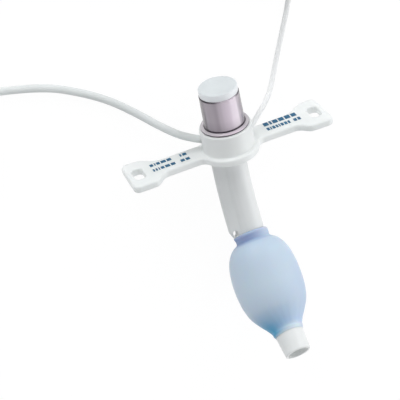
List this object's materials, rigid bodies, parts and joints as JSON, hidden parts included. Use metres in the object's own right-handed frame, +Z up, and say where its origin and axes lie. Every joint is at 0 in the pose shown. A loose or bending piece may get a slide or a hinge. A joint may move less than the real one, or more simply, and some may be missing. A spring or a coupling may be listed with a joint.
{
  "type": "tracheostomy tube",
  "caption": "Cuffed silicone tracheostomy tube with wide neck wings, plugged 15 mm connector, talk line and inflation line with pilot balloon, lying at rest",
  "frame": {"origin": "centre of the airway tube, flange, connector and plug in plan, on the table they rest on", "axes": "+X along the flange's wings, +Y from the tube's tip to the plugged connector, +Z up from the table; metres"},
  "size_m": [0.1771, 0.1706, 0.0355],
  "materials": {
    "silicone": "translucent white silicone",
    "cuff_film": "frosted pale blue film",
    "clear_connector": "clear, faintly mauve",
    "plug": "translucent pale grey",
    "line": "translucent grey-white silicone",
    "spring": "drawn wire",
    "valve_blue": "moulded",
    "seal": "soft black"
  },
  "bodies": {
    "tube": {"neck_flange": "silicone", "airway_tube": "silicone", "cuff": "cuff_film", "airway_connector": "clear_connector", "talk_line": "line", "talk_line_coil": "line", "talk_connector": "plug", "inflation_line": "line", "inflation_line_coil": "line", "pilot_balloon": "cuff_film", "valve_body": "plug", "valve_retainer": "plug", "valve_spring": "spring"},
    "plug": {"mouth_plug": "plug"},
    "plunger": {"valve_plunger": "valve_blue", "valve_seal": "seal"}
  },
  "joints": [
    {"name": "plug", "type": "slide", "parent": "tube", "child": "plug", "axis": [0, 0.9718, 0.2358], "range_m": [0, 0.02]},
    {"name": "plunger", "type": "slide", "parent": "tube", "child": "plunger", "axis": [0.9942, -0.108, 0], "range_m": [0, 0.0012], "stiffness_N_per_m": 400, "springref_m": -0.0008, "deforming": ["valve_spring"]}
  ]
}
